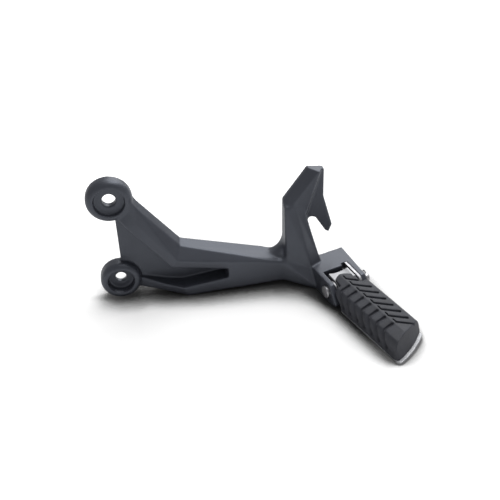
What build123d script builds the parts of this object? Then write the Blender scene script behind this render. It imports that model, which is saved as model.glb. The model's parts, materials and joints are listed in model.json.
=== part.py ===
from build123d import *
from math import cos, sin, radians, tan
import os

# Left-hand passenger foot peg of a motorcycle: a cast bracket, a hinge and a folding peg.
# Millimetres. The origin is the centre of the upper bolt hole, on the face that seats on the
# frame. +X runs along the bracket towards the peg, +Y points inboard, +Z is up.

# ---------------------------------------------------------------- bracket: bolt bosses
upper_bore_d = 11.0
upper_boss_d = 37.5
upper_boss_depth = 11.5
upper_boss_round = 6.0
seat_d = 25.0
seat_depth = 4.5
lower_bore_d = 9.0
lower_boss_d = 34.0
lower_boss_depth = 13.0
lower_boss_round = 5.0
lower_seat_d = 22.0
lower_seat_depth = 8.0
bolt_pitch = 76.1
bolt_offset = 1.2

# ---------------------------------------------------------------- bracket: arm and web
back_relief = 1.0
web_front = 4.5
arm_depth = 20.0
top_facet_depth = 11.0
top_facet_end = 7.0
boss_facet_depth = 10.0
elbow_x = 54.0
elbow_top = -45.2
elbow_crease_x = 49.0
elbow_crease_z = -57.0
elbow_lower_x = 43.5
elbow_lower_z = -63.5
base_z = -93.5
elbow_base_x = 57.0
fin_root_x = 126.0
fin_root_top = -66.0
arm_top_end = -64.5
arm_end_x = 142.0
arm_end_rise = 4.3
arm_tail = 10.0
pocket_end_x = 91.0
flange_height = 8.3
flange_start_depth = 3.5
core_wall = 5.0

# ---------------------------------------------------------------- bracket: fin and strap hook
fin_back = 3.0
fin_front = 14.5
fin_left_x = 140.5
fin_knee_z = -17.0
fin_top_z = 11.0
fin_top_left_x = 161.0
fin_top_right_x = 174.8
fin_bevel = 7.0
fin_edge = 3.0
fin_skirt_z = -20.0
fin_trail_bevel = 2.5
hook_front = 9.0
hook_tip_x = 180.5
hook_tip_z = -52.5
hook_heel_x = 183.2
hook_heel_z = -45.4
hook_root_x = 163.3
hook_root_z = -35.5
fin_foot_x = 171.5
root_radius = 16.0
root_sink = 3.0

# ---------------------------------------------------------------- hinge place and clevis
hinge_x = 185.3
hinge_y = -46.2
hinge_z = -83.05
hinge_yaw = 15.0
hinge_cant = 3.0
slot_width = 24.4
ear_width = 5.0
clevis_top = 9.0
clevis_bottom = 10.0
clevis_back = 38.5
slot_depth = 14.5
nose_top = 4.8
nose_slope = 0.72
nose_low = 4.5
nose_tip = 2.2
nose_foot = 8.0
nose_round = 1.5
nose_gap = 1.5
ear_flare = 2.8
notch_width = 5.6
notch_depth = 3.2

# ---------------------------------------------------------------- hinge pin and its small parts
pin_d = 8.0
pin_head_d = 11.0
pin_head_depth = 2.5
pin_tail = 4.6
ear_bore_clearance = 0.10
tongue_bore_clearance = 0.06
washer_d = 15.0
washer_depth = 1.5
split_pin_d = 1.8
split_pin_eye = 1.7
split_pin_tail = 4.5
shim_d = 13.4
shim_depth = 1.0
disc_spring_height = 1.3
disc_spring_sheet = 0.7
click_plate_depth = 2.0
click_plate_radius = 10.0
click_plate_low = -6.0
click_flange_top = 3.5
click_hole_d = 2.6
ball_d = 3.5
ball_radius = 6.9
ball_stand = 0.2
plate_gap = 0.6
body_gap = 0.4
spring_wire = 0.5
spring_length = 5.0
spring_turns = 5

# ---------------------------------------------------------------- peg
tongue_radius = 8.0
heel_length = 11.0
cheek_width = 1.8
saddle_depth = 1.2
tray_bottom = 10.0
tray_depth = 2.2
tread_width = 37.0
tread_left = 16.6
tread_sweep = 4.3
tread_start = 9.5
neck_floor = 5.5
neck_front = 3.5
neck_bow = 13.8
neck_offset = 0.5
tread_left_length = 91.9
tip_slant = 26.3
tip_bow = 91.0
tip_lean = 11.0
tip_radius = 3.5
tip_right_radius = 3.5
tray_lip = 2.6
tray_inset = 0.4
tread_top = 11.0
ridge_from_left = 13.1
left_shoulder = 9.8
left_shoulder_drop = 2.5
right_shoulder = 16.0
right_shoulder_drop = 4.0
flank_height = 5.0
flank_lean = 0.8
neck_clearance = 0.3
core_height = 5.8
core_width = 18.0
core_length = 50.0
core_start = 24.0
groove_width = 2.4
groove_depth = 2.0
groove_pitch = 9.5
groove_count = 7
groove_angle = 30.0
groove_reach = 18.0
first_reach = 13.0
first_groove = 2.8
first_left_groove = 13.4
spine_width = 1.6
hook_leg = 3.5
valley_tilt = 27.0

# ---------------------------------------------------------------- fixings of the tread
screw_d = 5.0
screw_head_d = 8.5
screw_head_height = 3.4
screw_clearance = 0.25
screw_pitch = 34.0
screw_washer_depth = 1.2
head_pocket_depth = 5.5
insert_plate_depth = 2.0
insert_nut_d = 9.2
insert_nut_height = 4.0

# How far a cut runs on past the piece that it goes through.
beyond = 40.0

hinge = Location((hinge_x, hinge_y, hinge_z)) * Rotation(0, 0, hinge_yaw) * Rotation(0, -hinge_cant, 0)
slot_half = slot_width / 2
clevis_half = slot_half + ear_width


# ---------------------------------------------------------------- helpers
def slab(outline, near, far):
    """Plate with an outline of (x, z) points, between two depths outboard of the seating face."""
    face = make_face(Plane.XZ * Polyline(*outline, close=True))
    return Pos(0, -near, 0) * extrude(face, far - near, dir=(0, -1, 0))


def triangle(a, b, c):
    return Face(Wire.make_polygon([a, b, c]))


def faceted(rails):
    """Solid with flat facets, whose corners run along rails that have as many points each."""
    faces = []
    last = len(rails[0]) - 1
    for i, rail in enumerate(rails):
        other = rails[(i + 1) % len(rails)]
        for k in range(last):
            faces.append(triangle(rail[k], rail[k + 1], other[k + 1]))
            faces.append(triangle(rail[k], other[k + 1], other[k]))
    for k in (0, last):
        for i in range(1, len(rails) - 1):
            faces.append(triangle(rails[0][k], rails[i][k], rails[i + 1][k]))
    return Solid(Shell(faces))


def outboard(x, z, diameter, length, near=0.0):
    """Round stud whose axis runs outboard, starting near mm from the seating face."""
    plane = Plane(origin=(x, -near, z), x_dir=(1, 0, 0), z_dir=(0, -1, 0))
    return plane * Cylinder(diameter / 2, length, align=(Align.CENTER, Align.CENTER, Align.MIN))


def along_pin(radius, start, end, y=0.0, z=0.0):
    """Round bar parallel to the hinge pin, in the hinge's own frame."""
    plane = Plane(origin=(start, y, z), x_dir=(0, 1, 0), z_dir=(1, 0, 0))
    return plane * Cylinder(radius, end - start, align=(Align.CENTER, Align.CENTER, Align.MIN))


def upright(radius, bottom, top, x, y):
    """Round bar along the hinge frame's Z."""
    return Pos(x, y, bottom) * Cylinder(radius, top - bottom, align=(Align.CENTER, Align.CENTER, Align.MIN))


def block(x0, x1, y0, y1, z0, z1):
    return Pos((x0 + x1) / 2, (y0 + y1) / 2, (z0 + z1) / 2) * Box(x1 - x0, y1 - y0, z1 - z0)


def across(outline, x0, x1, rounds=(), radius=0.0):
    """Prism along the hinge pin, with an outline of (y, z) points of which some are rounded."""
    face = make_face(Polyline(*outline, close=True))
    for corner in rounds:
        face = fillet(face.vertices().sort_by_distance(corner)[0], radius)
    return Pos(x0, 0, 0) * extrude(Plane.YZ * face, x1 - x0, dir=(1, 0, 0))


def hinge_point(x, y, z):
    return (hinge * Location((x, y, z))).position


# ---------------------------------------------------------------- bracket
lower_x = bolt_offset
lower_z = -bolt_pitch
seat_half = clevis_half - 0.5


def top_line(x):
    """Height of the arm's upper edge beyond the elbow."""
    return elbow_top + (arm_top_end - elbow_top) * (x - elbow_x) / (fin_root_x - elbow_x)


def arm():
    """Faceted arm: a top facet, an upper face down to the crease and a lower face below it."""
    tail_x = fin_root_x + arm_tail
    tail_z = top_line(tail_x)
    top = [(9, -back_relief, 15.4), (22, -back_relief, -5.5), (elbow_x, -back_relief, elbow_top),
           (tail_x, -back_relief, tail_z)]
    bevel = [(13.5, -9.4, 5), (20.5, -boss_facet_depth, -8),
             (elbow_x - 1.5, -top_facet_depth, elbow_top - 2), (tail_x - 1, -top_facet_end, tail_z - 1)]
    crease = [(14.6, -9.6, -6), (18.6, -13, -22), (elbow_crease_x, -arm_depth, elbow_crease_z),
              (tail_x + 5, -arm_depth, fin_root_top - 5)]
    lower = [(3, -9.4, -14), (10, -13, -23), (elbow_lower_x, -arm_depth + 1.5, elbow_lower_z),
             (tail_x + 5, -arm_depth, fin_root_top - 14)]
    lower_back = [(x, -back_relief, z) for x, y, z in lower]
    return faceted([top, bevel, crease, lower, lower_back])


def web():
    outline = [(2.6, -10), (14, -6), (elbow_crease_x, elbow_crease_z), (pocket_end_x + 4, -70),
               (pocket_end_x + 4, -87), (elbow_x, base_z + 4), (14, lower_z - 4), (3, lower_z + 12)]
    return slab(outline, back_relief, web_front)


def base_flange():
    """Lower rail, from the lower boss to the elbow's foot and on under the pocket."""
    start_x = 6
    start_z = lower_z - 10.5
    elbow_near_x = elbow_base_x - 4.5
    growth = (arm_depth - flange_start_depth) / (elbow_near_x - start_x)
    near_z = base_z + flange_height
    knee_x = start_x + 0.35 * (elbow_base_x - start_x)
    knee_z = start_z + 0.07 * (base_z - start_z)
    near = [(start_x, lower_z + 3), (elbow_near_x - 12.5, near_z + 2.4), (elbow_near_x, near_z),
            (pocket_end_x + 2, near_z + 5.4)]
    foot = [(start_x, start_z), (knee_x, knee_z), (elbow_base_x, base_z), (pocket_end_x + 2, base_z + 2)]
    rails = []
    for points, at_front in ((near, True), (foot, True), (foot, False), (near, False)):
        depths = [min(arm_depth, flange_start_depth + growth * (x - start_x)) for x, z in points]
        rails.append([(x, -d if at_front else -back_relief, z) for (x, z), d in zip(points, depths)])
    return faceted(rails)


def forearm():
    """Solid stretch of the arm between the pocket and the foot of the fin."""
    outline = [(pocket_end_x, fin_root_top), (fin_root_x + 5, fin_root_top - 4),
               (arm_end_x + 2, fin_root_top - 3), (arm_end_x + 2, base_z + arm_end_rise),
               (pocket_end_x, base_z + 1.7)]
    return slab(outline, back_relief, arm_depth)


def fin():
    """Upright fin with a bevelled leading edge."""
    corner_z = top_line(fin_left_x)
    start_x = fin_left_x - 1.5 * root_radius
    start_z = top_line(start_x) - root_sink
    trail_top = (fin_top_right_x - 2.3, fin_top_z - 1.5)
    trail_foot = (hook_root_x - 3.1, hook_root_z + 2)
    outline = Polyline((start_x, start_z), (fin_left_x, corner_z), (fin_left_x, fin_knee_z),
                       (fin_top_left_x, fin_top_z), trail_top, trail_foot, (fin_foot_x, base_z + 16.5),
                       (fin_foot_x + 2.3, base_z + 5), (fin_foot_x - 6, base_z + 2),
                       (arm_end_x, base_z + arm_end_rise), (start_x, base_z + 8), close=True)
    face = make_face(outline)
    root = face.vertices().sort_by_distance((fin_left_x, corner_z))[0]
    face = fillet(root, root_radius)
    solid = Pos(0, -fin_back, 0) * extrude(Plane.XZ * face, fin_front - fin_back, dir=(0, -1, 0))
    lead = ((fin_left_x + fin_top_left_x) / 2, -fin_front, (fin_knee_z + fin_top_z) / 2)
    solid = chamfer(solid.edges().sort_by_distance(lead)[0], fin_bevel)
    side = (fin_left_x, -fin_front, (fin_root_top + fin_knee_z) / 2)
    solid = chamfer(solid.edges().sort_by_distance(side)[0], fin_edge)
    trail = ((trail_top[0] + trail_foot[0]) / 2, -fin_front, (trail_top[1] + trail_foot[1]) / 2)
    back_edge = solid.edges().sort_by_distance(trail)[0]
    return chamfer(back_edge, fin_trail_bevel, fin_front - hook_front - 0.5)


def fin_skirt():
    """Front of the fin's foot, which thickens down to the arm and out to the clevis."""
    top_x = (fin_left_x, fin_left_x + 9, fin_left_x + 15.5)
    corner = hinge_point(-clevis_half, slot_depth + 11, clevis_top)
    foot = [(fin_left_x, -arm_depth, fin_root_top - 4), corner, (fin_foot_x, -arm_depth, corner.Z)]
    top = [(x, -fin_front, fin_skirt_z) for x in top_x]
    top_back = [(x, -fin_back - 1, fin_skirt_z) for x in top_x]
    foot_back = [(x, -fin_back - 1, z) for x, z in
                 ((fin_left_x, fin_root_top - 4), (corner.X, corner.Z), (fin_foot_x, corner.Z))]
    return faceted([top_back, top, foot, foot_back])


def hook():
    """Thin strap hook that leaves the fin's trailing side and points down."""
    start_x = hook_root_x - 13
    outline = [(start_x + 4, fin_knee_z + 12), (fin_top_left_x + 3, fin_top_z - 1),
               (fin_top_right_x - 3, fin_top_z - 1.2), (fin_top_right_x, fin_top_z - 1.8),
               (fin_top_right_x + 0.4, fin_knee_z), (hook_heel_x, hook_heel_z), (hook_tip_x, hook_tip_z),
               (hook_tip_x - 3, hook_tip_z + 1.5), (hook_root_x + 4.9, hook_root_z - 0.7),
               (hook_root_x, hook_root_z), (hook_root_x - 2.3, hook_root_z - 4.5),
               (start_x, hook_root_z - 4.5)]
    return slab(outline, fin_back, hook_front)


def gusset():
    """Tapered block that carries the clevis on the end of the arm."""
    reach = -clevis_half + 3
    start = arm_end_x - 4
    low = base_z + arm_end_rise
    rails = [[(start, -fin_back, fin_root_top - 4), hinge_point(reach, clevis_back, clevis_top)],
             [(start, -arm_depth, fin_root_top - 4), hinge_point(reach, slot_depth + 11, clevis_top)],
             [(start, -arm_depth, low), hinge_point(reach, slot_depth, -clevis_bottom)],
             [(start, -fin_back, low), hinge_point(reach, clevis_back, -clevis_bottom)]]
    return faceted(rails)


def clevis():
    """Forked block in the hinge's own frame: two ears whose ends slant, and the slot between them."""
    tip = nose_top + nose_slope * (clevis_top + nose_low)
    corners = [(-nose_top, clevis_top), (-tip, -nose_low), (-tip, -nose_low - nose_tip),
               (-nose_foot, -clevis_bottom)]
    outline = [(clevis_back, clevis_top)] + corners + [(clevis_back, -clevis_bottom)]
    body = across(outline, -clevis_half, clevis_half + ear_flare, corners, nose_round)
    flare = [(-clevis_half, -tip - 1), (clevis_half, -tip - 1), (clevis_half, 0),
             (clevis_half + ear_flare, clevis_back), (-clevis_half, clevis_back)]
    plan = make_face(Polyline(*flare, close=True))
    return body & Pos(0, 0, -clevis_bottom - 1) * extrude(plan, clevis_bottom + clevis_top + 2)


def clevis_cuts():
    """Slot, notch for the click plate's tail, ear bores and their faced seats."""
    notch_back = slot_depth + notch_depth
    cuts = block(-slot_half, slot_half, -beyond, slot_depth, -beyond, beyond)
    cuts += block(slot_half - notch_width, slot_half, slot_depth - 1, notch_back, -beyond, beyond)
    cuts += along_pin(pin_d / 2 + ear_bore_clearance, -beyond, beyond)
    cuts += along_pin(washer_d / 2 + 1, seat_half, beyond)
    cuts += along_pin(washer_d / 2 + 1, -beyond, -seat_half)
    cuts += block(-slot_half + 2, slot_half + 1, notch_back + core_wall, clevis_back - core_wall,
                  -beyond, clevis_top - core_wall)
    return cuts


def rear_cores():
    """Pockets cored into the inboard side, with a rib left between them."""
    deep = arm_depth - core_wall
    middle = (pocket_end_x + arm_end_x) / 2
    z_top = fin_root_top - core_wall - 2
    z_low = base_z + core_wall + 3
    first = [(pocket_end_x + core_wall, z_top + 6), (middle - 2, z_top), (middle - 2, z_low),
             (pocket_end_x + core_wall, z_low - 1)]
    end_x = arm_end_x - 6
    second = [(middle + 2, z_top - 1), (end_x, z_top - 2), (end_x, z_low), (middle + 2, z_low)]
    left_x = fin_left_x + core_wall
    upper = [(left_x, fin_root_top), (left_x, fin_knee_z - 6), (fin_top_left_x - 8, fin_knee_z + 7),
             (hook_root_x - 8.3, hook_root_z + 1.5), (hook_root_x - 0.3, fin_root_top)]
    return slab(first, 0, deep) + slab(second, 0, deep) + slab(upper, 0, fin_front - core_wall)


def bracket():
    body = forearm() + base_flange() + web() + arm() + fin() + fin_skirt() + gusset() + hook()
    body += hinge * clevis()
    upper = outboard(0, 0, upper_boss_d, upper_boss_depth)
    lower = outboard(lower_x, lower_z, lower_boss_d, lower_boss_depth)
    body += fillet(upper.edges().sort_by(Axis.Y)[0], upper_boss_round)
    body += fillet(lower.edges().sort_by(Axis.Y)[0], lower_boss_round)
    body -= rear_cores()
    body -= hinge * clevis_cuts()
    body -= outboard(0, 0, seat_d, beyond, near=upper_boss_depth - seat_depth)
    body -= outboard(0, 0, upper_bore_d, 2 * beyond, near=-beyond)
    body -= outboard(lower_x, lower_z, lower_seat_d, beyond, near=lower_boss_depth - lower_seat_depth)
    body -= outboard(lower_x, lower_z, lower_bore_d, 2 * beyond, near=-beyond)
    return body


# ---------------------------------------------------------------- hinge hardware, in the hinge frame
def hinge_pin():
    end = seat_half + washer_depth + pin_tail
    shank = along_pin(pin_d / 2, -seat_half, end)
    shank = chamfer(shank.edges().sort_by(Axis.X)[-1], 0.8)
    head = along_pin(pin_head_d / 2, -seat_half - pin_head_depth, -seat_half)
    head = fillet(head.edges().sort_by(Axis.X)[0], 1.0)
    hole_x = seat_half + washer_depth + split_pin_d / 2
    return shank + head - upright(split_pin_d / 2 + 0.1, -beyond, beyond, hole_x, 0)


def hinge_washer():
    ring = along_pin(washer_d / 2, seat_half, seat_half + washer_depth)
    return ring - along_pin(pin_d / 2 + 0.2, 0, beyond)


def split_pin():
    """Two wires side by side through the pin, with an eye above it and the tails bent apart."""
    x = seat_half + washer_depth + split_pin_d / 2
    wire = split_pin_d / 4
    eye_z = pin_d / 2 + 2.2
    bend_z = -pin_d / 2 - 1.0
    pin = Pos(x, 0, eye_z) * Rotation(0, 90, 0) * Torus(split_pin_eye, wire)
    for side in (-1, 1):
        y = side * wire * 0.85
        tail = Pos(x, y, bend_z) * Rotation(side * 40, 0, 0)
        pin += upright(wire, bend_z, eye_z - split_pin_eye, x, y)
        pin += Pos(x, y, bend_z) * Sphere(wire)
        pin += tail * Cylinder(wire, split_pin_tail, align=(Align.CENTER, Align.CENTER, Align.MAX))
    return pin


def thrust_shim():
    start = -slot_half + disc_spring_height
    return along_pin(shim_d / 2, start, start + shim_depth) - along_pin(pin_d / 2 + 0.2, -beyond, beyond)


def disc_spring():
    """Conical spring washer: its rim bears on the ear and its crown on the shim."""
    inner = pin_d / 2 + 0.3
    outer = shim_d / 2 - 0.4
    rise = disc_spring_height - disc_spring_sheet
    x = -slot_half
    section = Polyline((x, outer), (x + disc_spring_sheet, outer),
                       (x + disc_spring_sheet + rise, inner), (x + rise, inner), close=True)
    return revolve(make_face(section), Axis.X)


def click_plate():
    """Plate on the right ear, with a hole for the ball at each end of the fold."""
    x1 = slot_half
    x0 = slot_half - click_plate_depth
    top = clevis_top - 0.3
    disc = along_pin(click_plate_radius, x0, x1)
    back = slot_depth + notch_depth - 0.3
    disc &= block(x0, x1, -beyond, beyond, -clevis_bottom + 2, top)
    plate = disc + block(x0, x1, 0, back, click_plate_low, top)
    plate += block(slot_half - notch_width + 0.1, x1, back - click_plate_depth, back,
                   click_plate_low, click_flange_top)
    plate -= along_pin(pin_d / 2 + 0.15, 0, beyond)
    for y, z in ((-ball_radius, 0), (0, ball_radius)):
        plate -= along_pin(click_hole_d / 2, 0, beyond, y, z)
    return plate


tongue_right = slot_half - click_plate_depth - plate_gap
tongue_left = -slot_half + disc_spring_height + shim_depth + body_gap
ball_x = tongue_right + ball_stand - ball_d / 2
spring_radius = ball_d / 2 - 0.15 - spring_wire / 2


def detent_ball():
    return Pos(ball_x, -ball_radius, 0) * Sphere(ball_d / 2)


def detent_spring():
    """Coil behind the ball, lying along the pin."""
    reach = ball_d / 2 + spring_wire / 2 + 0.03
    end_x = ball_x - (reach ** 2 - spring_radius ** 2) ** 0.5
    coil = Helix((spring_length - spring_wire) / spring_turns, spring_length - spring_wire, spring_radius)
    wire = sweep(Plane(origin=coil @ 0, z_dir=coil % 0) * Circle(spring_wire / 2), coil, is_frenet=True)
    plane = Plane(origin=(end_x, -ball_radius, 0), x_dir=(0, 1, 0), z_dir=(-1, 0, 0))
    return plane * wire


# ---------------------------------------------------------------- peg, in the hinge frame
swept = Rotation(0, 0, tread_sweep)
tread_right = tread_width - tread_left
ridge_x = ridge_from_left - tread_left
tread_bottom = -tray_bottom + tray_depth
slant = radians(tip_slant)
tip_mid_y = -tread_left_length + tread_width * tan(slant) / 2
tip_inset = (tip_bow ** 2 - (tread_width / cos(slant) / 2) ** 2) ** 0.5
tip_centre = ((tread_right - tread_left) / 2 - tip_inset * sin(slant), tip_mid_y + tip_inset * cos(slant))
screw_ys = [-core_start - core_length / 2 + side * screw_pitch / 2 for side in (-1, 1)]
far = tread_left_length + beyond


def tread_plan(lip, side):
    """Outline of the tread from above, grown by lip at its bowed tip and by side along its edges."""
    x0 = -tread_left - side
    x1 = tread_right + side
    start = neck_front + 1
    strip = make_face(Polyline((x0, start), (x1, start), (x1, -far), (x0, -far), close=True))
    face = strip & Pos(*tip_centre) * Circle(tip_bow + lip)
    face = fillet(face.vertices().sort_by(Axis.Y)[0], tip_radius)
    right_y = -tread_left_length + tread_width * tan(slant)
    return fillet(face.vertices().sort_by_distance((x1, right_y - lip))[0], tip_right_radius)


def tread_section(inset=0.0):
    """Cross-section of the tread: flat base, leaning sides and a ridge nearer the left side."""
    left = -ridge_from_left + inset
    right = tread_width - ridge_from_left - inset
    ridge = tread_top - inset
    flank_z = tread_bottom + flank_height
    left_top = (-left_shoulder, ridge - left_shoulder_drop)
    right_top = (right_shoulder, ridge - right_shoulder_drop)
    left_bulge = ((left + flank_lean - left_shoulder) / 2 - 1.2, (flank_z + left_top[1]) / 2 + 1.2)
    right_bulge = ((right - flank_lean + right_shoulder) / 2 + 1.5, (flank_z + right_top[1]) / 2 + 1.5)
    lines = [Polyline((right - flank_lean, flank_z), (right, tread_bottom), (left, tread_bottom),
                      (left + flank_lean, flank_z)),
             ThreePointArc((left + flank_lean, flank_z), left_bulge, left_top),
             Polyline(left_top, (0, ridge), right_top),
             ThreePointArc(right_top, right_bulge, (right - flank_lean, flank_z))]
    return Pos(ridge_x, 0, 0) * make_face(lines)


def tread_bar(inset=0.0):
    """The tread's cross-section, run from the end of the neck to beyond the tip."""
    length = far + neck_front + 1
    return Pos(0, neck_front + 1, 0) * extrude(Plane.XZ * tread_section(inset), length, dir=(0, -1, 0))


def beyond_ears():
    """Room for the tread outboard of the ears, behind a front that slants as their ends do."""
    reach = nose_top + nose_slope * clevis_top + nose_gap * (1 + nose_slope ** 2) ** 0.5
    low = tray_bottom + 1
    high = tread_top + 1
    outline = [(-tread_start, high), (-tread_start, (reach - tread_start) / nose_slope),
               (-reach - nose_slope * low, -low), (-far, -low), (-far, high)]
    return across(outline, -tread_width, tread_width)


def neck_room():
    """Room between the ears for the neck of the tread, with a bowed inboard end."""
    room = block(tongue_left + neck_clearance, tongue_right - neck_clearance, -core_start, neck_front,
                 neck_floor, tread_top + 1)
    return room & upright(neck_bow, 0, tread_top + 1, neck_offset, neck_front - neck_bow)


def tongue():
    """Barrel round the hinge pin with a heel inboard of it, and the forearm that carries the tray."""
    end = core_start + 1
    side = [(0, tongue_radius), (heel_length, tongue_radius), (heel_length, tongue_radius / 2),
            (0.8 * tongue_radius, -0.6 * tongue_radius), (0, -tongue_radius), (-end / 2, -tray_bottom),
            (-end, -tray_bottom), (-end, neck_floor), (0, neck_floor)]
    body = along_pin(tongue_radius, tongue_left, tongue_right) + across(side, tongue_left, tongue_right)
    half = (tongue_right - tongue_left) / 2 - cheek_width
    hollow_radius = (half ** 2 + saddle_depth ** 2) / (2 * saddle_depth)
    middle = (tongue_left + tongue_right) / 2
    trough = Cylinder(hollow_radius, heel_length + 1, rotation=(90, 0, 0))
    return body - Pos(middle, (heel_length + 1) / 2, tongue_radius - saddle_depth + hollow_radius) * trough


def peg_bar():
    """Tongue, tray and raised core of the peg, cast in one piece."""
    plate = extrude(Pos(0, 0, -tray_bottom) * tread_plan(tray_lip, -tray_inset), tray_depth)
    core = block(-core_width / 2, core_width / 2, -core_start - core_length, -core_start, 0, core_height)
    tray = plate + Pos(0, 0, tread_bottom) * core
    for y in screw_ys:
        tray -= upright(screw_head_d / 2 + 0.6, -beyond, -tray_bottom + head_pocket_depth, 0, y)
        tray -= upright(screw_d / 2 + screw_clearance, -beyond, beyond, 0, y)
    bar = tongue() + ((swept * tray) & beyond_ears())
    bar -= along_pin(pin_d / 2 + tongue_bore_clearance, -beyond, beyond)
    spring_end = ball_x - spring_length - ball_d / 2
    bar -= along_pin(ball_d / 2 + 0.05, spring_end, beyond, -ball_radius, 0)
    return bar


plate_z = tread_bottom + core_height
nut_z = plate_z + insert_plate_depth


def insert_plate():
    """Steel plate moulded into the underside of the tread."""
    end = core_start + core_length
    plate = block(-core_width / 2 + 1, core_width / 2 - 1, -end + 2, -core_start - 2, plate_z, nut_z)
    for y in screw_ys:
        plate -= upright(screw_d / 2 + screw_clearance, -beyond, beyond, 0, y)
    return swept * plate


def insert_nut(y):
    nut = Pos(0, y, nut_z) * extrude(RegularPolygon(insert_nut_d / 2, 6), insert_nut_height)
    return swept * (nut - upright(screw_d / 2, -beyond, beyond, 0, y))


def tread_screw(y):
    under = -tray_bottom + head_pocket_depth - screw_washer_depth
    shank = upright(screw_d / 2, under, nut_z + insert_nut_height, 0, y)
    head = upright(screw_head_d / 2, under - screw_head_height, under, 0, y)
    head = fillet(head.edges().sort_by(Axis.Z)[0], 0.8)
    socket = Pos(0, y, under - screw_head_height) * extrude(RegularPolygon(1.73, 6), 2.0)
    return swept * (shank + head - socket)


def screw_washer(y):
    top = -tray_bottom + head_pocket_depth
    ring = upright(screw_head_d / 2, top - screw_washer_depth, top, 0, y)
    return swept * (ring - upright(screw_d / 2 + screw_clearance, -beyond, beyond, 0, y))


def tread_grooves():
    """Grooves of even depth: hooked and slanted right of the ridge, and left of it straight across
    and then down the flank."""
    ribs = tread_bar(groove_depth)
    half = groove_width / 2
    low = tread_bottom + flank_height
    high = tread_top + 1
    cuts = []
    for i in range(groove_count + 1):
        reach = groove_reach if i else first_reach
        slanted = Rotation(0, 0, -groove_angle) * block(spine_width, reach, -half, half, low, high)
        leg = block(spine_width, spine_width + half, -half, hook_leg, low, high)
        cuts.append(Pos(ridge_x, -first_groove - groove_pitch * i, 0) * (slanted + leg))
    for i in range(groove_count):
        top = block(-left_shoulder, -spine_width / 2, -half, half, low, high)
        fall = block(-ridge_from_left - 1, -left_shoulder + half, -half, half, -flank_height * 3, 1)
        fall = Pos(0, 0, tread_top - left_shoulder_drop) * Rotation(-valley_tilt, 0, 0) * fall
        fall &= block(-ridge_from_left - 1, 0, -far, far, tread_bottom + 2, high)
        cuts.append(Pos(ridge_x, -first_left_groove - groove_pitch * i, 0) * (top + fall))
    return [cut - ribs for cut in cuts]


def tip_room():
    """Cone that leans back from the bowed end of the tread."""
    height = tread_top - tread_bottom + 1
    cone = Cone(tip_bow, tip_bow - height * tan(radians(tip_lean)), height,
                align=(Align.CENTER, Align.CENTER, Align.MIN))
    return Pos(*tip_centre, tread_bottom) * cone


def tread():
    """Rubber cover: domed bar with a neck over the tongue, hollow for the core, plate and nuts."""
    prism = extrude(Pos(0, 0, tread_bottom) * tread_plan(0, 0), tread_top - tread_bottom + 1)
    body = tread_bar() & prism & tip_room()
    for groove in tread_grooves():
        body -= groove
    body = swept * body
    cover = (body & beyond_ears()) + (body & neck_room()) - tongue()
    end = core_start + core_length
    hollow = block(-core_width / 2, core_width / 2, -end, -core_start, -beyond, plate_z)
    hollow += block(-core_width / 2 + 1, core_width / 2 - 1, -end + 2, -core_start - 2, plate_z, nut_z)
    for y in screw_ys:
        hollow += Pos(0, y, nut_z) * extrude(RegularPolygon(insert_nut_d / 2, 6), insert_nut_height)
    return cover - swept * hollow


# ---------------------------------------------------------------- write the nodes
nodes = {"bracket": bracket()}
in_hinge = {
    "hinge_pin": hinge_pin(),
    "hinge_washer": hinge_washer(),
    "split_pin": split_pin(),
    "thrust_shim": thrust_shim(),
    "disc_spring": disc_spring(),
    "click_plate": click_plate(),
    "detent_ball": detent_ball(),
    "detent_spring": detent_spring(),
    "peg_bar": peg_bar(),
    "insert_plate": insert_plate(),
    "tread": tread(),
}
for number, y in enumerate(screw_ys, 1):
    in_hinge[f"insert_nut_{number}"] = insert_nut(y)
    in_hinge[f"tread_screw_{number}"] = tread_screw(y)
    in_hinge[f"screw_washer_{number}"] = screw_washer(y)
for name, shape in in_hinge.items():
    nodes[name] = hinge * shape

os.makedirs("parts", exist_ok=True)
for name, shape in nodes.items():
    export_step(shape, f"parts/{name}.step")
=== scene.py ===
"""Left passenger foot peg of a motorcycle: a cast bracket with a strap hook, and a folding peg whose
ribbed rubber tread sits on a cast bar. Everything is in metres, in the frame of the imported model."""
import json
import math

import bpy
import numpy as np
from mathutils import Matrix, Vector

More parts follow.
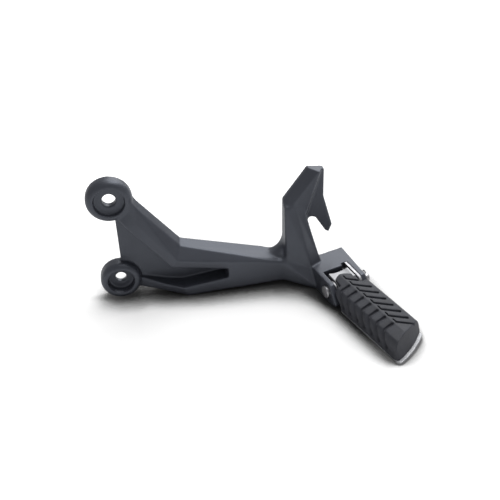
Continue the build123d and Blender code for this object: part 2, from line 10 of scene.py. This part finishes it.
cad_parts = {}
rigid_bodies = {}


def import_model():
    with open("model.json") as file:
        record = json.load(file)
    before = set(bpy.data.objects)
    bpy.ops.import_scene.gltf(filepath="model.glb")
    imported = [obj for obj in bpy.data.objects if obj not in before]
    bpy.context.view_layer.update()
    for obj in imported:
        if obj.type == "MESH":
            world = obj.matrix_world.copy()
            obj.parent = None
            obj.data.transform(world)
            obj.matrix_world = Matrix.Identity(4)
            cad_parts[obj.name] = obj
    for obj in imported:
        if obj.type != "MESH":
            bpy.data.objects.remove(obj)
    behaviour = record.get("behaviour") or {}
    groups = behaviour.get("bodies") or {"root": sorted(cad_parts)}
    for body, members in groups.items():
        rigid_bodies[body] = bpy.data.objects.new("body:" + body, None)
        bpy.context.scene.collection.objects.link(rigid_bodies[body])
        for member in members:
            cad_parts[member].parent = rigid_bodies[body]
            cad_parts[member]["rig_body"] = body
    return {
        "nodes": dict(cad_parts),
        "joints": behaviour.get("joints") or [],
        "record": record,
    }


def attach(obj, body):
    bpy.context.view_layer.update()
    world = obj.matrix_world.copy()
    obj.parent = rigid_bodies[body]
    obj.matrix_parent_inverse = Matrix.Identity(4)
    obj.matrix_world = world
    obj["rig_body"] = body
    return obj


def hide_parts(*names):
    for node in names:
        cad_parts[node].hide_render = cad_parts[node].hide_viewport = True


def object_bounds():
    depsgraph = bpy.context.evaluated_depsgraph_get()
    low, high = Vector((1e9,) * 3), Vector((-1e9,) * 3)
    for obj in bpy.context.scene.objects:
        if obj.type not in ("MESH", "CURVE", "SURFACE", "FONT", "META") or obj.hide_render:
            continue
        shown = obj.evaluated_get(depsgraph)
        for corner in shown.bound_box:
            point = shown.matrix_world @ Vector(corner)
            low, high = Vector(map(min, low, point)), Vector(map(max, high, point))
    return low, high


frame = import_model()
cad_box = [list(corner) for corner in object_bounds()]
MM = 0.001


# ------------------------------------------------------------------ camera
CAMERA_PLACE = (0.02127, -0.56019, 0.31833)
CAMERA_TURN = math.radians(-9.32)
CAMERA_LIFT = math.radians(90 - 34.23)
CAMERA_ROLL = math.radians(-1.61)
LENS = 57.16
SENSOR_WIDTH = 36


def place_camera():
    """Camera a little to the left of square on and well above, with a moderately long lens."""
    data = bpy.data.cameras.new("camera")
    data.sensor_width = SENSOR_WIDTH
    data.lens = LENS
    camera = bpy.data.objects.new("camera", data)
    bpy.context.scene.collection.objects.link(camera)
    attitude = (Matrix.Rotation(CAMERA_TURN, 4, "Z") @ Matrix.Rotation(CAMERA_LIFT, 4, "X")
                @ Matrix.Rotation(CAMERA_ROLL, 4, "Z"))
    camera.matrix_world = Matrix.Translation(CAMERA_PLACE) @ attitude
    bpy.context.scene.camera = camera


# ------------------------------------------------------------------ node trees
class Value:
    """A socket of a node tree, used like a number in Python expressions."""

    def __init__(self, tree, socket):
        self.tree = tree
        self.socket = socket

    def math(self, operation, *operands):
        node = self.tree.nodes.new("ShaderNodeMath")
        node.operation = operation
        for i, operand in enumerate(operands):
            if isinstance(operand, Value):
                self.tree.links.new(operand.socket, node.inputs[i])
            else:
                node.inputs[i].default_value = operand
        return Value(self.tree, node.outputs[0])

    def __add__(self, other):
        return self.math("ADD", self, other)

    __radd__ = __add__

    def __sub__(self, other):
        return self.math("SUBTRACT", self, other)

    def __rsub__(self, other):
        return self.math("SUBTRACT", other, self)

    def __mul__(self, other):
        return self.math("MULTIPLY", self, other)

    __rmul__ = __mul__

    def __truediv__(self, other):
        return self.math("DIVIDE", self, other)

    def __abs__(self):
        return self.math("ABSOLUTE", self)

    def round(self):
        return self.math("ROUND", self)

    def clamp(self, low=0.0, high=1.0):
        return self.math("MAXIMUM", self.math("MINIMUM", self, high), low)


class Tree:
    """A node tree that adds its nodes through one method."""

    def __init__(self, tree):
        self.tree = tree

    def feed(self, socket, value):
        if isinstance(value, Value):
            self.tree.links.new(value.socket, socket)
        else:
            socket.default_value = value

    def node(self, kind, settings=None, output=0, **sockets):
        """Adds a node, makes its settings, feeds its sockets and returns one of its outputs. Sockets
        go by name with underscores for spaces, or by _ and their number."""
        made = self.tree.nodes.new(kind)
        for key, value in (settings or {}).items():
            setattr(made, key, value)
        for key, value in sockets.items():
            index = int(key[1:]) if key[0] == "_" else key.replace("_", " ")
            self.feed(made.inputs[index], value)
        return Value(self.tree, made.outputs[output])

    def ramp(self, value, low, high):
        """0 at low and before it, 1 at high and beyond it."""
        return ((value - low) / (high - low)).clamp()

    def smooth(self, value, low, high):
        """A ramp with soft ends."""
        step = self.ramp(value, low, high)
        return step * step * (3 - step * 2)


class Finish(Tree):
    """A procedural material with one Principled shader, built from expressions."""

    def __init__(self, name):
        self.material = bpy.data.materials.new(name)
        self.material.use_nodes = True
        super().__init__(self.material.node_tree)
        self.tree.nodes.clear()
        self.shader = self.tree.nodes.new("ShaderNodeBsdfPrincipled")
        output = self.tree.nodes.new("ShaderNodeOutputMaterial")
        self.tree.links.new(self.shader.outputs[0], output.inputs["Surface"])

    def place(self):
        return self.node("ShaderNodeTexCoord", output="Object")

    def noise(self, size, detail=2.0, roughness=0.5):
        """Noise from 0 to 1 whose grains are about size metres across."""
        return self.node("ShaderNodeTexNoise", Vector=self.place(), Scale=1 / size, Detail=detail,
                         Roughness=roughness)

    def mix(self, factor, first, second):
        return self.node("ShaderNodeMix", {"data_type": "RGBA"}, 2, Factor=factor, _6=first, _7=second)

    def bump(self, height, distance, strength=1.0):
        normal = self.node("ShaderNodeBump", Height=height, Distance=distance, Strength=strength)
        self.feed(self.shader.inputs["Normal"], normal)

    def set(self, **values):
        """Principled sockets, by name with underscores for spaces."""
        for key, value in values.items():
            self.feed(self.shader.inputs[key.replace("_", " ")], value)


# ------------------------------------------------------------------ finishes
def powder_coat():
    """Satin black powder coat over a casting: fine orange peel and faint waves below it."""
    finish = Finish("satin black powder coat")
    cloud = finish.noise(22 * MM, detail=3)
    grain = finish.noise(0.55 * MM, detail=2, roughness=0.6)
    wave = finish.noise(4 * MM, detail=2)
    dark, light = (0.030, 0.032, 0.041, 1), (0.041, 0.044, 0.056, 1)
    shade = finish.mix(finish.ramp(cloud * 0.7 + grain * 0.3, 0.3, 0.7), dark, light)
    finish.set(Base_Color=shade, Roughness=0.34 + grain * 0.16, Specular_IOR_Level=1.0,
               Specular_Tint=(0.82, 0.88, 1.0, 1))
    finish.bump(grain + wave * 1.5, 0.05 * MM, 0.55)
    return finish.material


def tread_rubber():
    """Black moulded rubber, slightly bloomed, with a matt grain."""
    finish = Finish("moulded black rubber")
    bloom = finish.noise(9 * MM, detail=4, roughness=0.6)
    grain = finish.noise(0.35 * MM, detail=3, roughness=0.65)
    dark, light = (0.029, 0.031, 0.039, 1), (0.044, 0.047, 0.060, 1)
    shade = finish.mix(finish.ramp(bloom * 0.75 + grain * 0.25, 0.32, 0.68), dark, light)
    finish.set(Base_Color=shade, Roughness=0.52 + grain * 0.16, Specular_IOR_Level=0.5)
    finish.bump(grain, 0.05 * MM, 0.5)
    return finish.material


def bare_casting():
    """Bare die-cast aluminium with a fine sandy skin and duller patches."""
    finish = Finish("bare die-cast aluminium")
    patch = finish.noise(6 * MM, detail=4)
    sand = finish.noise(0.5 * MM, detail=3, roughness=0.6)
    dull, bright = (0.36, 0.365, 0.38, 1), (0.45, 0.455, 0.47, 1)
    shade = finish.mix(finish.ramp(patch, 0.35, 0.65), dull, bright)
    finish.set(Base_Color=shade, Metallic=1.0, Roughness=0.42 + patch * 0.2)
    finish.bump(sand, 0.06 * MM, 0.5)
    return finish.material


def zinc_plate(name, bright, dull):
    """Zinc plating on small steel parts, with faint stains; bright and dull are grey levels."""
    finish = Finish(name)
    stain = finish.noise(3 * MM, detail=4)
    fine = finish.noise(0.4 * MM, detail=2)
    shade = finish.mix(finish.ramp(stain, 0.4, 0.65), (bright, bright, bright * 1.03, 1),
                       (dull, dull, dull * 1.05, 1))
    finish.set(Base_Color=shade, Metallic=1.0, Roughness=0.34 + stain * 0.2)
    finish.bump(fine, 0.02 * MM, 0.4)
    return finish.material


# ------------------------------------------------------------------ the peg's own directions
# Seen from the fold's pin: pin_way goes along it to the right, inboard away from the peg's outer end,
# and upward out of the tread's top. The tread is turned by its sweep about upward.
fold = next(joint for joint in frame["joints"] if joint["name"] == "peg_fold")
pin_place = Vector(fold["pos_m"])
pin_way = -Vector(fold["axis"]).normalized()
inboard = Vector((-pin_way.y, pin_way.x, 0)).normalized()
upward = pin_way.cross(inboard)
TREAD_SWEEP = math.radians(4.3)


def local(points, sweep=0.0):
    """Points of the model's frame as (along the pin, outboard, up) from the pin, turned back by the
    sweep."""
    axes = np.array([pin_way, -inboard, upward])
    away = (points - np.array(pin_place)) @ axes.T
    x, y = away[:, 0].copy(), away[:, 1].copy()
    away[:, 0] = x * math.cos(sweep) - y * math.sin(sweep)
    away[:, 1] = y * math.cos(sweep) + x * math.sin(sweep)
    return away


# ------------------------------------------------------------------ meshes
def points_of(mesh):
    flat = np.empty(len(mesh.vertices) * 3)
    mesh.vertices.foreach_get("co", flat)
    return flat.reshape(-1, 3)


def bake(piece):
    """Applies a piece's modifiers, and leaves a plain mesh."""
    graph = bpy.context.evaluated_depsgraph_get()
    mesh = bpy.data.meshes.new_from_object(piece.evaluated_get(graph))
    piece.modifiers.clear()
    old = piece.data
    piece.data = mesh
    bpy.data.meshes.remove(old)


def soften(piece, passes, weights=None):
    """Smooths a mesh, each point by its weight from 0 to 1."""
    smooth = piece.modifiers.new("soften", "SMOOTH")
    smooth.factor = 0.5
    smooth.iterations = passes
    if weights is not None:
        piece.vertex_groups.clear()
        group = piece.vertex_groups.new(name="soften")
        levels = np.round(weights, 1)
        for level in np.unique(levels):
            group.add(np.nonzero(levels == level)[0].tolist(), float(level), "REPLACE")
        smooth.vertex_group = "soften"
    bake(piece)


MELT_GAIN = 1.6


def melt(piece, place, reach, passes):
    """Runs a seam between two forms together: in full near a place, then less, and not at all
    beyond its reach."""
    away = np.linalg.norm(points_of(piece.data) - np.array(place), axis=1)
    soften(piece, passes, np.clip(MELT_GAIN - MELT_GAIN * away / reach, 0, 1))


WELD_DISTANCE = 0.002 * MM


def rounded_copy(node, name, grain, passes, crisp=None, keep=1.0, form=None):
    """A copy of a CAD node with every edge and inner corner softened, as a casting or a moulding has
    them, which stands for the node. grain is the size of the new skin's faces, crisp gives how much of
    the softening each point gets, form works on the soft copy, and keep is the share of faces kept."""
    mesh = frame["nodes"][node].data.copy()
    piece = bpy.data.objects.new(name, mesh)
    bpy.context.scene.collection.objects.link(piece)
    weld = piece.modifiers.new("weld", "WELD")
    weld.merge_threshold = WELD_DISTANCE
    remesh = piece.modifiers.new("skin", "REMESH")
    remesh.mode = "VOXEL"
    remesh.voxel_size = grain
    bake(piece)
    soften(piece, passes, crisp(points_of(piece.data)) if crisp else None)
    if form:
        form(piece)
    if keep < 1:
        thin = piece.modifiers.new("thin", "DECIMATE")
        thin.ratio = keep
        bake(piece)
    for polygon in piece.data.polygons:
        polygon.use_smooth = True
    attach(piece, frame["nodes"][node]["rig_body"])
    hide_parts(node)
    return piece


def paint(piece, material):
    piece.data.materials.clear()
    piece.data.materials.append(material)


# ------------------------------------------------------------------ bracket
SLOT_HALF = 15 * MM
SLOT_BACK = -19 * MM
SLOT_FRONT = 14 * MM
SLOT_SOFTENING = 0.3

SEAMS = {"fin root on the arm": ((0.139, -0.013, -0.066), 20 * MM, 150),
         "knee of the fin's leading edge": ((0.145, -0.0145, -0.018), 8 * MM, 50),
         "lower boss on the web": ((0.016, -0.005, -0.066), 14 * MM, 40)}


def bracket_crispness(points):
    """The hinge slot and the ears beside it are machined and stay sharper than the cast rest."""
    at = local(points)
    beside_slot = np.abs(at[:, 0]) < SLOT_HALF
    slot = beside_slot & (at[:, 1] > SLOT_BACK) & (at[:, 1] < SLOT_FRONT)
    return np.where(slot, SLOT_SOFTENING, 1.0)


def melt_seams(piece):
    for place, reach, passes in SEAMS.values():
        melt(piece, place, reach, passes)


def make_bracket(coat):
    piece = rounded_copy("bracket", "bracket_casting", grain=0.6 * MM, passes=20,
                         crisp=bracket_crispness, keep=0.4, form=melt_seams)
    paint(piece, coat)


# ------------------------------------------------------------------ peg
def make_peg_bar(casting):
    piece = rounded_copy("peg_bar", "peg_bar_casting", grain=0.45 * MM, passes=4, keep=0.5)
    paint(piece, casting)


class Former(Tree):
    """A Geometry Nodes tree with named inputs, which a modifier's sockets are set by."""

    KINDS = {float: "NodeSocketFloat", tuple: "NodeSocketVector"}

    def __init__(self, name, values, material):
        super().__init__(bpy.data.node_groups.new(name, "GeometryNodeTree"))
        sockets = self.tree.interface
        sockets.new_socket("Mesh", in_out="INPUT", socket_type="NodeSocketGeometry")
        for key, value in values.items():
            sockets.new_socket(key, in_out="INPUT", socket_type=self.KINDS[type(value)])
        sockets.new_socket("material", in_out="INPUT", socket_type="NodeSocketMaterial")
        sockets.new_socket("Mesh", in_out="OUTPUT", socket_type="NodeSocketGeometry")
        self.values = dict(values, material=material)
        entry = self.tree.nodes.new("NodeGroupInput")
        self.given = {socket.name: Value(self.tree, socket)
                      for socket in entry.outputs if socket.name}

    def finish(self, mesh):
        """Ends the tree with Realize Instances and Set Material."""
        whole = self.node("GeometryNodeRealizeInstances", Geometry=mesh)
        whole = self.node("GeometryNodeSetMaterial", Geometry=whole, Material=self.given["material"])
        leave = self.tree.nodes.new("NodeGroupOutput")
        self.tree.links.new(whole.socket, leave.inputs[0])

    def work_on(self, piece):
        """Runs the tree on a piece and leaves a plain mesh."""
        modifier = piece.modifiers.new(self.tree.name, "NODES")
        modifier.node_group = self.tree
        for item in self.tree.interface.items_tree:
            if item.in_out == "INPUT" and item.name in self.values:
                modifier[item.identifier] = self.values[item.name]
        bake(piece)


# In millimetres from the pin, in the tread's own directions; the tilt and the slant are slopes.
TREAD = {"ridge place": -3.5, "tread top": 11.0, "tread bottom": -7.8,
         "rib pitch": 9.5, "last rib": 6.0,
         "first left valley": 13.4, "left shoulder": 9.8, "shoulder height": 8.5, "flank tilt": 0.51,
         "first right valley": 2.8, "right slant": 0.577, "right reach": 15.6,
         "left depth": 1.3, "left half width": 4.2, "right depth": 0.7, "right half width": 3.6}
TALLEST_DROP = 40.0
SPINE_EDGE, SPINE_FADE = 0.6, 3.0
TOP_SHARE, FLANK_SHARE = 0.35, 0.65
SLANT_COSINE = 0.866


def rib_former(rubber):
    """Hollows soft valleys along the tread's grooves, so that its ribs stand as rounded lobes."""
    turn = math.cos(TREAD_SWEEP), math.sin(TREAD_SWEEP)
    ways = {"across": tuple(pin_way * turn[0] + inboard * turn[1]),
            "outboard": tuple(pin_way * turn[1] - inboard * turn[0]),
            "up": tuple(upward)}
    values = dict(TREAD, **{"pin place": tuple(pin_place)}, **ways)
    tree = Former("tread rib former", values, rubber)
    given = tree.given
    place = tree.node("GeometryNodeInputPosition")
    from_pin = tree.node("ShaderNodeVectorMath", {"operation": "SUBTRACT"}, _0=place,
                         _1=given["pin place"])

    def measure(way):
        """Millimetres from the pin in one of the tread's directions."""
        return tree.node("ShaderNodeVectorMath", {"operation": "DOT_PRODUCT"}, 1, _0=from_pin,
                         _1=given[way]) / MM

    def valley(run, half_width, squeeze):
        """1 on the nearest groove's line and 0 beyond the half width."""
        phase = run / given["rib pitch"]
        off = abs(phase - phase.round().clamp(0.0, given["last rib"]))
        return 1 - tree.smooth(off * given["rib pitch"] * squeeze, 0.0, half_width)

    across = measure("across") - given["ridge place"]
    out = measure("outboard")
    height = measure("up")
    drop = (given["shoulder height"] - height).clamp(0.0, TALLEST_DROP)
    flank = tree.smooth(0 - across, given["left shoulder"] - 3, given["left shoulder"] + 1)
    above_foot = tree.smooth(height, given["tread bottom"] + 1, given["tread bottom"] + 4)
    left_top = tree.smooth(0 - across, SPINE_EDGE, SPINE_FADE) * TOP_SHARE
    left_span = (flank * FLANK_SHARE + left_top) * above_foot
    left_run = out - drop * given["flank tilt"] - given["first left valley"]
    left = valley(left_run, given["left half width"], 1.0) * left_span
    right_run = out - across * given["right slant"] - given["first right valley"]
    past_spine = tree.smooth(across, SPINE_EDGE, SPINE_FADE)
    past_end = tree.smooth(across, given["right reach"] - 2, given["right reach"] + 1)
    on_top = tree.smooth(height, given["tread top"] - 9, given["tread top"] - 6)
    right_span = past_spine * (1 - past_end) * on_top
    right = valley(right_run, given["right half width"], SLANT_COSINE) * right_span
    left_push = left * given["left depth"] * MM
    right_push = right * given["right depth"] * MM
    sideways = tree.node("ShaderNodeVectorMath", {"operation": "SCALE"}, _0=given["across"],
                         Scale=left_push * flank * 0.85 - right_push * 0.2)
    downward = tree.node("ShaderNodeVectorMath", {"operation": "SCALE"}, _0=given["up"],
                         Scale=0 - left_push * (1 - flank * 0.6) - right_push)
    push = tree.node("ShaderNodeVectorMath", {"operation": "ADD"}, _0=sideways, _1=downward)
    mesh = tree.node("GeometryNodeSetPosition", Geometry=given["Mesh"], Offset=push)
    tree.finish(mesh)
    return tree


# Where the left flank's grooves fade, in millimetres.
FADE_PASSES = 90
FADE_EDGE = 1.5
FADE_TOP, FADE_HEIGHT = 5.5, 6.5
FOOT_GAP, FOOT_HEIGHT = 0.2, 1.0


def form_tread(piece, rubber):
    """Fades the grooves down the left flank, then rounds the ribs."""
    at = local(points_of(piece.data), TREAD_SWEEP) / MM
    flank_start = TREAD["ridge place"] - TREAD["left shoulder"] + FADE_EDGE
    beside = np.clip((flank_start - at[:, 0]) / FADE_EDGE, 0, 1)
    lower = np.clip((FADE_TOP - at[:, 2]) / FADE_HEIGHT, 0, 1)
    foot = np.clip((at[:, 2] - TREAD["tread bottom"] - FOOT_GAP) / FOOT_HEIGHT, 0, 1)
    soften(piece, FADE_PASSES, beside * lower * foot)
    rib_former(rubber).work_on(piece)


def make_tread(rubber):
    piece = rounded_copy("tread", "ribbed_rubber_tread", grain=0.42 * MM, passes=5, keep=0.9,
                         form=lambda soft: form_tread(soft, rubber))
    paint(piece, rubber)


# ------------------------------------------------------------------ floor and light
FLOOR_REACH = 3.0
FLOOR_MIDDLE = (0.11, -0.03)
CONTACT_REACH = 40 * MM
SKY_LEVEL = 0.34
LAMP_TARGET = (0.1, -0.03, -0.05)


def lay_floor():
    """A white table under the part, with painted shadow: ambient occlusion makes its colour dark right
    under the part, and to the camera it glows less near the part and more away from it, so that the far
    table renders white.
    """
    low = cad_box[0][2]
    mesh = bpy.data.meshes.new("floor")
    corners = [(x * FLOOR_REACH, y * FLOOR_REACH, low) for x, y in ((-1, -1), (1, -1), (1, 1), (-1, 1))]
    mesh.from_pydata(corners, [], [(0, 1, 2, 3)])
    floor = bpy.data.objects.new("floor", mesh)
    bpy.context.scene.collection.objects.link(floor)
    finish = Finish("white table")
    # Painted contact shadow: ambient occlusion darkens the table's colour near the part, on top of the
    # shadow the lamps cast.
    openness = finish.node("ShaderNodeAmbientOcclusion", {"samples": 8}, "AO", Distance=CONTACT_REACH)
    under, open_table = (0.06, 0.06, 0.06, 1), (0.94, 0.94, 0.94, 1)
    shade = finish.mix(finish.ramp(openness, 0.62, 0.87), under, open_table)
    finish.set(Base_Color=shade, Roughness=0.9, Specular_IOR_Level=0.2)
    seen = finish.node("ShaderNodeLightPath", output="Is Camera Ray")
    away = finish.node("ShaderNodeVectorMath", {"operation": "DISTANCE"}, 1, _0=finish.place(),
                       _1=(*FLOOR_MIDDLE, low))
    # Camera-only glow: lower near the part by ambient occlusion, which deepens the painted shadow, and
    # higher away from it, which keeps the far table white.
    level = finish.ramp(openness, 0.70, 0.90) * 0.25 + finish.ramp(away, 0.10, 0.26) * 0.4
    glow = finish.mix(seen * level, (0, 0, 0, 1), (1, 1, 1, 1))
    finish.set(Emission_Color=glow, Emission_Strength=1.0)
    paint(floor, finish.material)


def add_lamp(name, place, size, power):
    """A square area lamp, turned to the part."""
    data = bpy.data.lights.new(name, "AREA")
    data.size = size
    data.energy = power
    lamp = bpy.data.objects.new(name, data)
    bpy.context.scene.collection.objects.link(lamp)
    way = Vector(LAMP_TARGET) - Vector(place)
    turn = way.to_track_quat("-Z", "Y").to_matrix().to_4x4()
    lamp.matrix_world = Matrix.Translation(place) @ turn


def light_scene():
    """Soft light from a window behind on the right and a ceiling panel, under an even sky that is
    white to the camera."""
    world = bpy.data.worlds.new("studio")
    bpy.context.scene.world = world
    world.use_nodes = True
    sky = Tree(world.node_tree)
    seen = sky.node("ShaderNodeLightPath", output="Is Camera Ray")
    background = world.node_tree.nodes["Background"]
    background.inputs["Color"].default_value = (1, 1, 1, 1)
    sky.feed(background.inputs["Strength"], seen * (1 - SKY_LEVEL) + SKY_LEVEL)
    add_lamp("window", (0.68, 0.95, 0.95), size=1.4, power=14)
    add_lamp("ceiling", (0.52, 0.02, 1.15), size=0.7, power=6.5)
    bpy.context.scene.view_settings.view_transform = "Standard"


# ------------------------------------------------------------------ the whole
place_camera()
coat = powder_coat()
rubber = tread_rubber()
casting = bare_casting()
zinc = zinc_plate("bright zinc plate", 0.50, 0.36)
dull_zinc = zinc_plate("dull zinc plate", 0.24, 0.15)
slot_finish = {"black_powder_coat": coat, "black_rubber": rubber, "bare_cast_aluminium": casting,
               "zinc_plated_steel": zinc}
for part in frame["record"]["subparts"]:
    paint(frame["nodes"][part["node"]], slot_finish[part["material_slot"]])
for node in ("split_pin", "hinge_washer"):
    paint(frame["nodes"][node], dull_zinc)
make_bracket(coat)
make_peg_bar(casting)
make_tread(rubber)
lay_floor()
light_scene()
